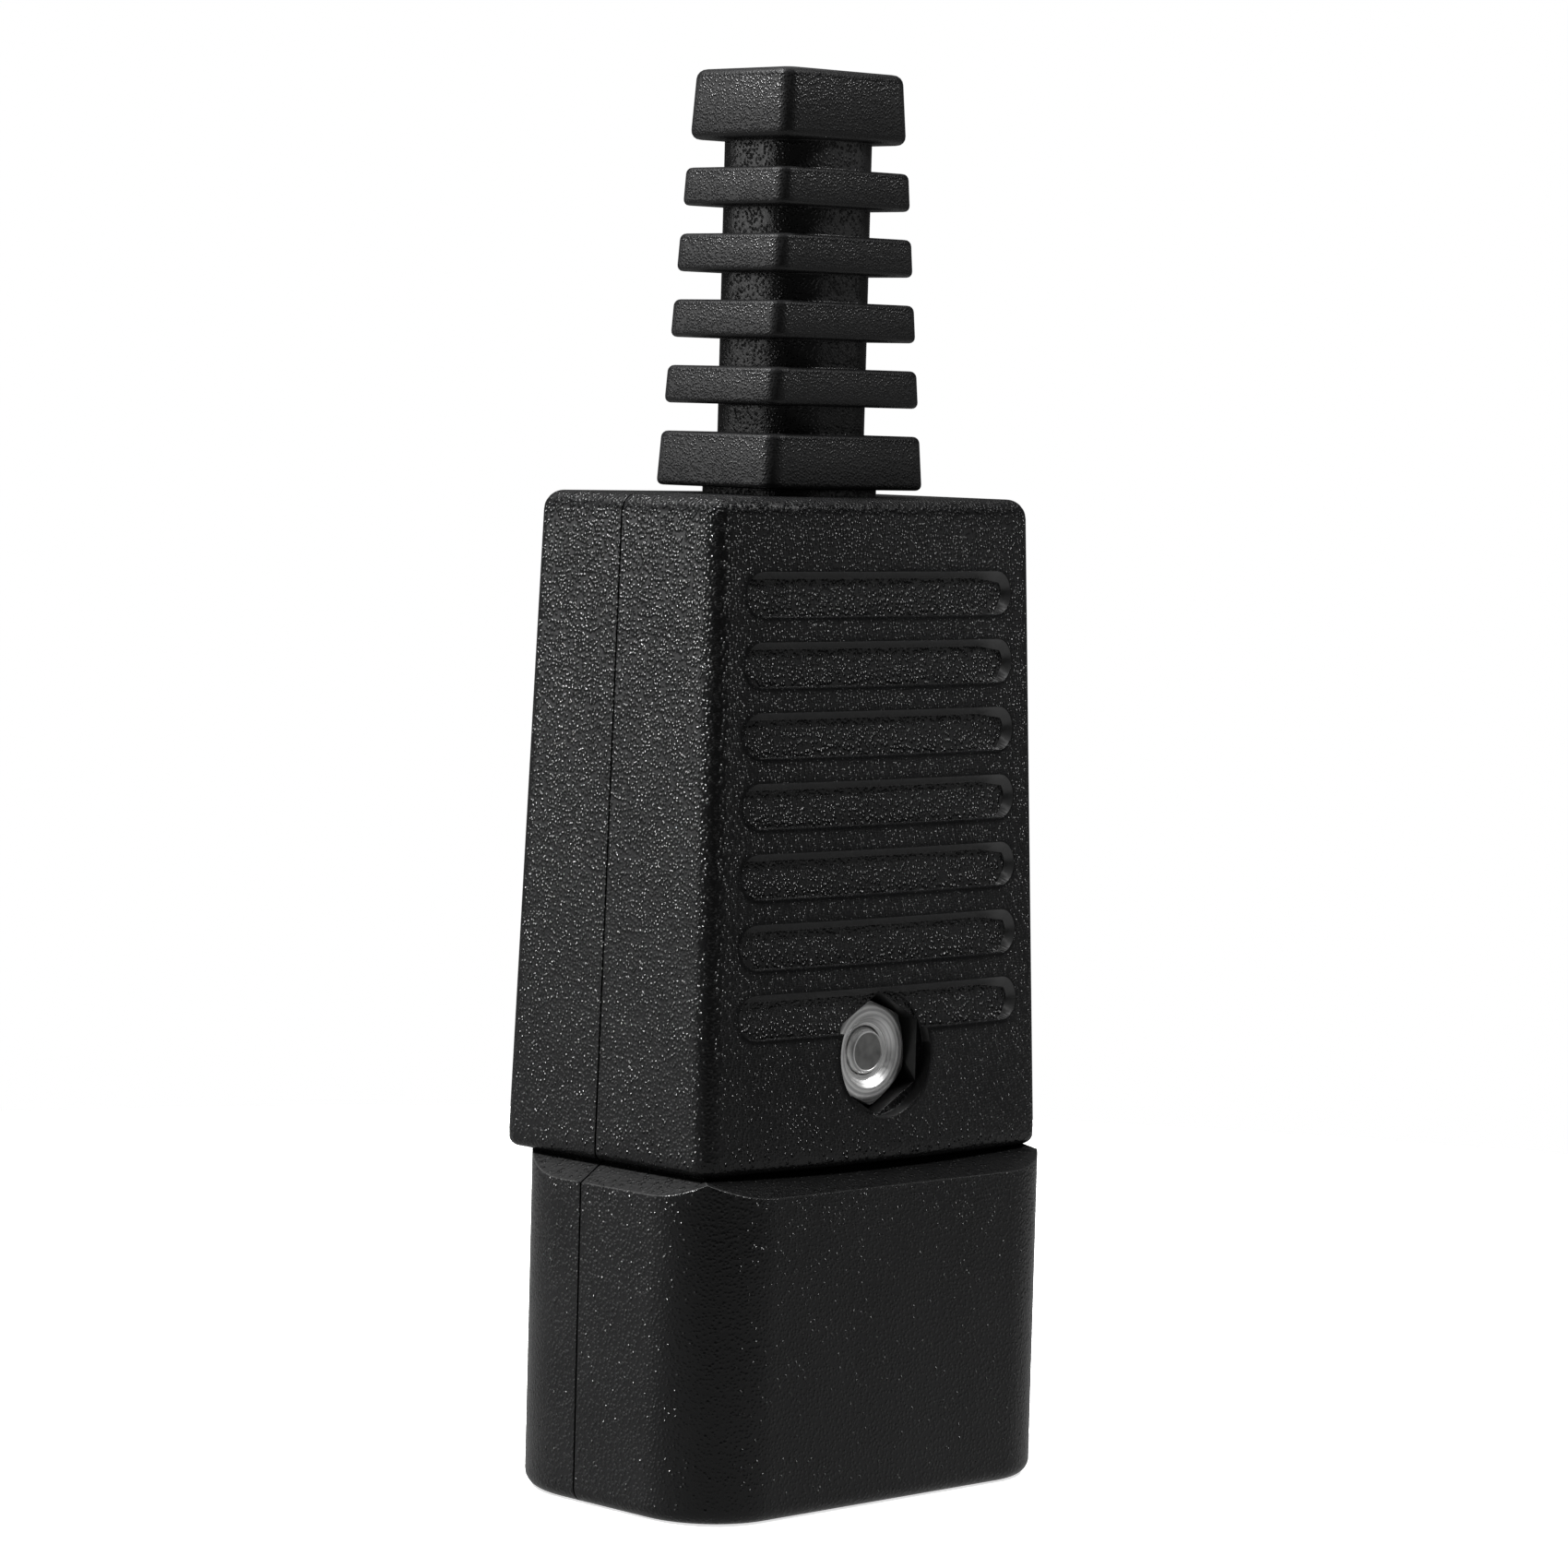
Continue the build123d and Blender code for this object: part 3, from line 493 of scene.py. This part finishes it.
# the housing's lower edge is crisper than in the solid: its rounding shrinks towards the corner
# that it replaces
def crispBase(bm, spec):
    level = spec["housing"][0]
    old, new = spec["baseRound"]
    half, corner = spec["halfWidth"][0], spec["cornerRadius"]
    for vert in bm.verts:
        x, y, z = vert.co / mm
        if not -spec["baseSlack"] < z - level < old + spec["baseSlack"]:
            continue
        depth = faceAt(level, y, spec)[1] + spec["crown"] * (1 - (x / half) ** 2)
        outX, outY = max(abs(x) - half + corner, 0), max(abs(y) - depth + corner, 0)
        reach = math.hypot(outX, outY)
        if reach == 0:
            continue
        rise = min(max((z - level) / old, 0), 1)
        inset = old * (1 - math.sqrt(1 - (1 - rise) ** 2))
        if abs(corner - reach - inset) > spec["baseReach"]:
            continue
        push = inset * (1 - new / old) / reach
        vert.co.x += math.copysign(outX * push, x) * mm
        vert.co.y += math.copysign(outY * push, y) * mm
        vert.co.z = (level - spec["baseDrop"] + (z - level) * new / old) * mm


# one end of each grip slopes like its upper edge: the foot of that end's wall moves in along the
# crowned floor
def slopeEnds(bm, spec):
    first, pitch, radius = spec["gripTopMiddle"], spec["gripPitch"], spec["gripRadius"]
    depth, slack = spec["gripDepth"], spec["endSlack"]
    for vert in bm.verts:
        x, y, z = vert.co / mm
        middle = first - pitch * min(max(round((first - z) / pitch), 0), spec["gripCount"] - 1)
        dx, dz = x - (faceAt(middle, y, spec)[0] - spec["gripMargin"] - radius), z - middle
        reach = math.hypot(dx, dz)
        below = belowFace(x, y, z, spec)
        if dx <= 0 or reach > radius + slack or not slack < below < depth + spec["floorSlack"]:
            continue
        weight = 1 if dz > 0 else min(1, spec["endFade"] * dx / reach)
        pull = min(1, (radius - spec["endSlope"] * weight * below / depth) / reach)
        moved = x + dx * (pull - 1)
        rise = spec["crown"] * (x ** 2 - moved ** 2) / faceAt(z, y, spec)[0] ** 2
        vert.co = Vector((moved, y + math.copysign(rise, y), z + dz * (pull - 1))) * mm


def shellMaterial(at, normal, spec):
    if smoothWall(at, normal, spec):
        # painted light: the sloped grip walls take the paler slope finish
        low, high = spec["slopeFacing"]
        sloped = low < normal.z < high or normal.x < spec["endFacing"]
        return litSlopePlastic if sloped and at.z > spec["gripSpan"][1] else smoothPlastic
    if gripFloor(at, normal, spec):
        return gripPlastic
    # painted shade: the seam's groove takes the near-black seam finish
    if abs(at.y) < spec["seam"]:
        return seamShadePlastic
    # painted shade: the shoulder below the housing takes the darker shoulder finish
    foot, top = spec["shoulder"]
    low, high = spec["shoulderFacing"]
    return shoulderShadePlastic if foot < at.z < top and low < normal.z < high else sparkPlastic


def shellSkin(name, node, spec):
    mesh = nodes[node].data.copy()
    bm = bmesh.new()
    bm.from_mesh(mesh)
    bmesh.ops.remove_doubles(bm, verts=bm.verts, dist=spec["merge"] * mm)
    crispBase(bm, spec)
    slopeEnds(bm, spec)
    bm.to_mesh(mesh)
    bm.free()
    if "custom_normal" in mesh.attributes:
        mesh.attributes.remove(mesh.attributes["custom_normal"])
    mats = [sparkPlastic, smoothPlastic, gripPlastic, litSlopePlastic, shoulderShadePlastic, seamShadePlastic]
    mesh.materials.clear()
    for mat in mats:
        mesh.materials.append(mat)
    for poly in mesh.polygons:
        poly.material_index = mats.index(shellMaterial(poly.center / mm, poly.normal, spec))
    smoothByAngle(mesh, spec["sharpAngle"])
    piece = linkPiece(name, mesh)
    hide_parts(node)
    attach(piece, "root")


shellSkin("frontShellSkin", "front_shell", shellFinish)
shellSkin("rearShellSkin", "rear_shell", shellFinish)
print("shells dressed")


# one level of a ring: a rounded rectangle
def roundedLoop(width, depth, corner, steps):
    loop = []
    for quarter, (sx, sy) in enumerate(((1, 1), (-1, 1), (-1, -1), (1, -1))):
        cx = sx * (width / 2 - corner)
        cy = sy * (depth / 2 - corner)
        for i in range(steps + 1):
            angle = math.radians(90 * quarter + 90 * i / steps)
            loop.append((cx + corner * math.cos(angle), cy + corner * math.sin(angle)))
    return loop


# loops of the same count, joined level by level into a plain grid
def gridFromLoops(bm, loops, closed):
    rows = [[bm.verts.new(point) for point in loop] for loop in loops]
    count = len(rows[0])
    pairs = list(zip(rows, rows[1:]))
    if closed:
        pairs.append((rows[-1], rows[0]))
    for low, high in pairs:
        for i in range(count):
            bm.faces.new((low[i], low[(i + 1) % count], high[(i + 1) % count], high[i]))
    return rows


def cappedGrid(bm, loops):
    rows = gridFromLoops(bm, loops, False)
    bm.faces.new(rows[0])
    bm.faces.new(rows[-1])


def meshFrom(name, bm):
    bmesh.ops.recalc_face_normals(bm, faces=bm.faces)
    mesh = bpy.data.meshes.new(name)
    bm.to_mesh(mesh)
    bm.free()
    return mesh


def evaluatedMesh(piece, name):
    bpy.context.view_layer.update()
    depsgraph = bpy.context.evaluated_depsgraph_get()
    mesh = bpy.data.meshes.new_from_object(piece.evaluated_get(depsgraph))
    mesh.name = name
    return mesh


# cord sleeve: flange, tip block and core are rings; the ribs are set out by a node tree
# neck, root and collar are rings of the core: foot, top, width, rounded edge and hole
sleeve = {
    "start": 57.3, "axisY": -0.35,
    "base": (12.66, 10.1), "tip": (9.64, 8.2), "length": 23.7,
    "flange": 3.1, "groove": 1.6, "rib": 2.15, "ribCount": 4, "block": 4.0,
    "corner": 1.05, "edge": 0.36, "blockEdge": 0.55, "cornerSteps": 7, "edgeSteps": 4,
    "bore": 3.1, "ribHole": 3.3, "coreCorner": 2.6,
    "neck": (57.1, 80.0, 7.5, 0.05, 3.12),
    "root": (54.6, 57.5, 8.6, 0.05, 3.35),
    "collar": (52.9, 54.7, 11.0, 0.2, 3.5),
    "neckReach": 1.01, "wallFacing": 0.3, "sharpAngle": 35,
}


# square ring of the sleeve, with its outer edges rounded and a round hole for the bore
def squareRing(bm, low, high, corner, edge, hole, axisY):
    zLow, zHigh = low[0], high[0]
    loops = []
    steps = sleeve["cornerSteps"]
    angles = [math.radians(90 * i / sleeve["edgeSteps"]) for i in range(sleeve["edgeSteps"] + 1)]

    def add(flat, z):
        loops.append([(x * mm, (y + axisY) * mm, z * mm) for x, y in flat])

    def level(z, inset):
        share = (z - zLow) / (zHigh - zLow)
        width = low[1] + (high[1] - low[1]) * share - 2 * inset
        depth = low[2] + (high[2] - low[2]) * share - 2 * inset
        add(roundedLoop(width, depth, corner - inset, steps), z)

    bore = roundedLoop(2 * hole, 2 * hole, hole, steps)
    add(bore, zLow)
    for angle in angles:
        level(zLow + edge * (1 - math.cos(angle)), edge * (1 - math.sin(angle)))
    for angle in angles:
        level(zHigh - edge * (1 - math.sin(angle)), edge * (1 - math.cos(angle)))
    add(bore, zHigh)
    gridFromLoops(bm, loops, True)


def sleeveSize(z):
    share = (z - sleeve["start"]) / sleeve["length"]
    return tuple(b + (t - b) * share for b, t in zip(sleeve["base"], sleeve["tip"]))


def sleeveRing(bm, zLow, zHigh, edge, hole, axisY):
    low = (zLow, *sleeveSize(zLow))
    high = (zHigh, *sleeveSize(zHigh))
    squareRing(bm, low, high, sleeve["corner"], edge, hole, axisY)


def ribTree():
    tree = bpy.data.node_groups.new("sleeveRibs", "GeometryNodeTree")
    face = tree.interface
    face.new_socket("Geometry", in_out="INPUT", socket_type="NodeSocketGeometry")
    sockets = {}
    for label, kind in (("Rib", "NodeSocketObject"), ("Count", "NodeSocketInt"), ("Pitch", "NodeSocketFloat"),
                        ("Narrower Across", "NodeSocketFloat"), ("Narrower Deep", "NodeSocketFloat"),
                        ("Axis", "NodeSocketVector"), ("Finish", "NodeSocketMaterial")):
        sockets[label] = face.new_socket(label, in_out="INPUT", socket_type=kind).identifier
    face.new_socket("Geometry", in_out="OUTPUT", socket_type="NodeSocketGeometry")
    link = tree.links.new
    given = addNode(tree, "NodeGroupInput", (-900, 0))
    line = addNode(tree, "GeometryNodeMeshLine", (-500, 200), mode="OFFSET")
    step = addNode(tree, "ShaderNodeCombineXYZ", (-700, 100))
    link(given.outputs["Pitch"], step.inputs["Z"])
    link(given.outputs["Count"], line.inputs["Count"])
    link(given.outputs["Axis"], line.inputs["Start Location"])
    link(step.outputs[0], line.inputs["Offset"])
    index = addNode(tree, "GeometryNodeInputIndex", (-900, -300))
    scale = addNode(tree, "ShaderNodeCombineXYZ", (-300, -300))
    scale.inputs["Z"].default_value = 1.0
    for label, axis, y in (("Narrower Across", "X", -200), ("Narrower Deep", "Y", -400)):
        drop = mathNode(tree, (-700, y), "MULTIPLY", index.outputs[0], given.outputs[label])
        left = addNode(tree, "ShaderNodeMath", (-500, y), operation="SUBTRACT")
        left.inputs[0].default_value = 1.0
        link(drop, left.inputs[1])
        link(left.outputs[0], scale.inputs[axis])
    rib = addNode(tree, "GeometryNodeObjectInfo", (-500, 0), transform_space="ORIGINAL")
    link(given.outputs["Rib"], rib.inputs["Object"])
    place = addNode(tree, "GeometryNodeInstanceOnPoints", (-100, 100))
    link(line.outputs["Mesh"], place.inputs["Points"])
    link(rib.outputs["Geometry"], place.inputs["Instance"])
    link(scale.outputs[0], place.inputs["Scale"])
    solid = addNode(tree, "GeometryNodeRealizeInstances", (100, 100))
    link(place.outputs[0], solid.inputs[0])
    join = addNode(tree, "GeometryNodeJoinGeometry", (300, 0))
    link(given.outputs["Geometry"], join.inputs[0])
    link(solid.outputs[0], join.inputs[0])
    coat = addNode(tree, "GeometryNodeSetMaterial", (500, 0))
    link(join.outputs[0], coat.inputs["Geometry"])
    link(given.outputs["Finish"], coat.inputs["Material"])
    done = addNode(tree, "NodeGroupOutput", (700, 0))
    link(coat.outputs[0], done.inputs[0])
    return tree, sockets


def makeSleeve():
    start, axisY = sleeve["start"], sleeve["axisY"]
    pitch = sleeve["rib"] + sleeve["groove"]
    top = start + sleeve["length"]
    bm = bmesh.new()
    sleeveRing(bm, start, start + sleeve["flange"], sleeve["edge"], sleeve["ribHole"], axisY)
    sleeveRing(bm, top - sleeve["block"], top, sleeve["blockEdge"], sleeve["bore"], axisY)
    for label in ("neck", "root", "collar"):
        zLow, zHigh, width, edge, hole = sleeve[label]
        low, high = (zLow, width, width), (zHigh, width, width)
        squareRing(bm, low, high, sleeve["coreCorner"], edge, hole, axisY)
    body = linkPiece("cordSleeveSkin", meshFrom("cordSleeveSkin", bm))
    firstRib = start + sleeve["flange"] + sleeve["groove"]
    bm = bmesh.new()
    sleeveRing(bm, firstRib, firstRib + sleeve["rib"], sleeve["edge"], sleeve["ribHole"], 0)
    bmesh.ops.translate(bm, verts=bm.verts, vec=(0, 0, -firstRib * mm))
    rib = linkPiece("sleeveRib", meshFrom("sleeveRib", bm))
    tree, sockets = ribTree()
    ribs = body.modifiers.new("ribs", "NODES")
    ribs.node_group = tree
    narrower = [(b - t) / sleeve["length"] * pitch / size
                for b, t, size in zip(sleeve["base"], sleeve["tip"], sleeveSize(firstRib))]
    values = {
        "Rib": rib, "Count": sleeve["ribCount"], "Pitch": pitch * mm,
        "Narrower Across": narrower[0], "Narrower Deep": narrower[1],
        "Axis": (0, axisY * mm, firstRib * mm), "Finish": softPlastic,
    }
    for label, value in values.items():
        ribs[sockets[label]] = value
    mesh = evaluatedMesh(body, "cordSleeveSkin")
    body.modifiers.remove(ribs)
    body.data = mesh
    bpy.data.objects.remove(rib)
    mesh.materials.clear()
    mesh.materials.append(softPlastic)
    mesh.materials.append(neckPlastic)
    neckReach = sleeve["neck"][2] / 2 * sleeve["neckReach"]
    for poly in mesh.polygons:
        x, y, z = poly.center / mm
        onNeck = max(abs(x), abs(y - axisY)) < neckReach and abs(poly.normal.z) < sleeve["wallFacing"]
        poly.material_index = 1 if onNeck else 0
    smoothByAngle(mesh, sleeve["sharpAngle"])
    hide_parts("cord_sleeve")
    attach(body, "root")


makeSleeve()
print("sleeve made")


# points round the axis of screw and nut
def ringPoint(radius, angle, y):
    return (radius * math.cos(angle) * mm, y * mm, (screwZ + radius * math.sin(angle)) * mm)


def ringAngles(count):
    return [2 * math.pi * i / count for i in range(count)]


# radius of a thread, whose ridge comes round once in a turn
def threadRadius(along, angle, spec):
    low, high = spec["thread"]
    return low + (high - low) * abs(2 * ((along / spec["pitch"] + angle / 2 / math.pi) % 1) - 1)


# hexagon nut: corners turned off, countersunk bore with a thread inside
# the profile gives radius and depth from the seen face, from the corners to the thread
nut = {
    "face": -8.141, "thickness": 2.4, "flats": 5.5, "turn": 39.0, "segments": 96,
    "faceRadius": 2.62, "cornerAngle": 30.0, "rearSink": 2.04, "sharpAngle": 25,
    "profile": ((2.62, 0.02), (2.5, 0.0), (2.09, 0.0), (2.04, 0.03), (1.66, 0.33), (1.64, 0.4)),
    "thread": (1.34, 1.54), "pitch": 0.5, "threadStart": 0.45, "threadLength": 1.9, "threadRings": 24,
}


def makeNut():
    y0, y1 = nut["face"], nut["face"] + nut["thickness"]
    angles = ringAngles(nut["segments"])

    def hexRadius(angle):
        part = (math.degrees(angle) - nut["turn"]) % 60 - 30
        return nut["flats"] / 2 / math.cos(math.radians(part))

    def fall(angle):
        return (hexRadius(angle) - nut["faceRadius"]) * math.tan(math.radians(nut["cornerAngle"]))

    loops = [[ringPoint(hexRadius(a), a, y0 + fall(a)) for a in angles]]
    for radius, depth in nut["profile"]:
        loops.append([ringPoint(radius, a, y0 + depth) for a in angles])
    for i in range(nut["threadRings"] + 1):
        y = y0 + nut["threadStart"] + nut["threadLength"] * i / nut["threadRings"]
        loops.append([ringPoint(threadRadius(y, a, nut), a, y) for a in angles])
    for radius in (nut["rearSink"], nut["faceRadius"]):
        loops.append([ringPoint(radius, a, y1) for a in angles])
    loops.append([ringPoint(hexRadius(a), a, y1 - fall(a)) for a in angles])
    bm = bmesh.new()
    gridFromLoops(bm, loops, True)
    mesh = meshFrom("hexNutSkin", bm)
    mesh.materials.append(zincPlate)
    smoothByAngle(mesh, nut["sharpAngle"])
    piece = linkPiece("hexNutSkin", mesh)
    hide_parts("shell_nut")
    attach(piece, "root")


# shell screw: rolled thread with a chamfered end, pan head with a cross recess
# the end's profile gives radius and depth from the seen end; the bands are measured along the axis
screw = {
    "end": -8.021, "length": 12.0, "thread": (1.24, 1.47), "pitch": 0.5, "segments": 40, "ringsPerTurn": 8,
    "endProfile": ((0.02, 0.1), (0.6, 0.09), (1.06, 0.06), (1.1, 0.0), (1.16, 0.01)),
    "endRadius": 1.16, "endChamfer": 0.6, "endBand": (0.04, 0.12), "endFacing": -0.9,
    "headRadius": 2.8, "headHeight": 2.1, "headRound": 1.05, "roundSteps": 6,
    "slotLength": 3.2, "slotWidth": 0.9, "slotDepth": 1.1, "slotOver": 0.4, "slotTaper": (0.62, 1.05),
    "recessBand": (0.3, 2.08), "sharpAngle": 30,
}


def screwShank(angles):
    y0, high = screw["end"], screw["thread"][1]
    loops = [[ringPoint(r, a, y0 + d) for a in angles] for r, d in screw["endProfile"]]
    rings = int(screw["length"] / screw["pitch"] * screw["ringsPerTurn"])
    for i in range(1, rings + 1):
        d = screw["length"] * i / rings
        cap = screw["endRadius"] + d / screw["endChamfer"] * (high - screw["endRadius"])
        loops.append([ringPoint(min(cap, threadRadius(d, a, screw)), a, y0 + d) for a in angles])
    bm = bmesh.new()
    cappedGrid(bm, loops)
    return linkPiece("shellScrewSkin", meshFrom("shellScrewSkin", bm))


def screwHead(angles, y1):
    radius, top, bend = screw["headRadius"], screw["headHeight"], screw["headRound"]
    profile = [(radius, 0), (radius, top - bend)]
    for i in range(1, screw["roundSteps"] + 1):
        angle = math.radians(90 * i / screw["roundSteps"])
        profile.append((radius - bend * (1 - math.cos(angle)), top - bend * (1 - math.sin(angle))))
    bm = bmesh.new()
    cappedGrid(bm, [[ringPoint(r, a, y1 + d) for a in angles] for r, d in profile])
    return linkPiece("screwHead", meshFrom("screwHead", bm))


# one arm of the cross recess: a block that narrows inwards
def slotBlock(name, width, height, yFoot, yMouth):
    bm = bmesh.new()
    for y, grow in zip((yFoot, yMouth), screw["slotTaper"]):
        for sx, sz in ((-1, -1), (1, -1), (1, 1), (-1, 1)):
            bm.verts.new((sx * width / 2 * grow * mm, y * mm, (screwZ + sz * height / 2 * grow) * mm))
    corners = list(bm.verts)
    for quad in ((0, 1, 2, 3), (4, 5, 6, 7), (0, 1, 5, 4), (1, 2, 6, 5), (2, 3, 7, 6), (3, 0, 4, 7)):
        bm.faces.new([corners[k] for k in quad])
    return linkPiece(name, meshFrom(name, bm))


def makeScrew():
    y0, y1 = screw["end"], screw["end"] + screw["length"]
    angles = ringAngles(screw["segments"])
    shank = screwShank(angles)
    head = screwHead(angles, y1)
    headTop = y1 + screw["headHeight"]
    long, wide = screw["slotLength"], screw["slotWidth"]
    for name, width, height in (("slotAcross", long, wide), ("slotUp", wide, long)):
        cutter = slotBlock(name, width, height, headTop - screw["slotDepth"], headTop + screw["slotOver"])
        cut = head.modifiers.new(name, "BOOLEAN")
        cut.operation = "DIFFERENCE"
        cut.solver = "EXACT"
        cut.object = cutter
        mesh = evaluatedMesh(head, "screwHead")
        head.modifiers.remove(cut)
        head.data = mesh
        bpy.data.objects.remove(cutter)
    bm = bmesh.new()
    bm.from_mesh(shank.data)
    bm.from_mesh(head.data)
    bm.to_mesh(shank.data)
    bm.free()
    bpy.data.objects.remove(head)
    shank.data.materials.clear()
    shank.data.materials.append(zincPlate)
    shank.data.materials.append(zincEndAndRecessShade)
    # the seen end takes the darker plating, and the cross recess takes it as painted shade
    endLow, endHigh = screw["endBand"]
    recessLow, recessHigh = screw["recessBand"]
    flatRadius = screw["headRadius"] - screw["headRound"]
    for poly in shank.data.polygons:
        at = poly.center / mm
        onEnd = poly.normal.y < screw["endFacing"] and endLow < at.y - y0 < endHigh
        inRecess = recessLow < at.y - y1 < recessHigh and math.hypot(at.x, at.z - screwZ) < flatRadius
        if onEnd or inRecess:
            poly.material_index = 1
    smoothByAngle(shank.data, screw["sharpAngle"])
    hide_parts("shell_screw")
    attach(shank, "root")


makeNut()
makeScrew()
print("nut and screw made")


def coatNodes(names, mat):
    for name in names:
        nodes[name].data.materials.clear()
        nodes[name].data.materials.append(mat)


coatNodes(("live_pin", "neutral_pin", "earth_pin"), nickelPlate)
coatNodes(("live_terminal_screw", "neutral_terminal_screw", "earth_terminal_screw"), zincSmall)
coatNodes(("left_clamp_screw", "right_clamp_screw"), zincSmall)
coatNodes(("cord_clamp",), smoothPlastic)
print("inner nodes finished")

bpy.context.view_layer.update()
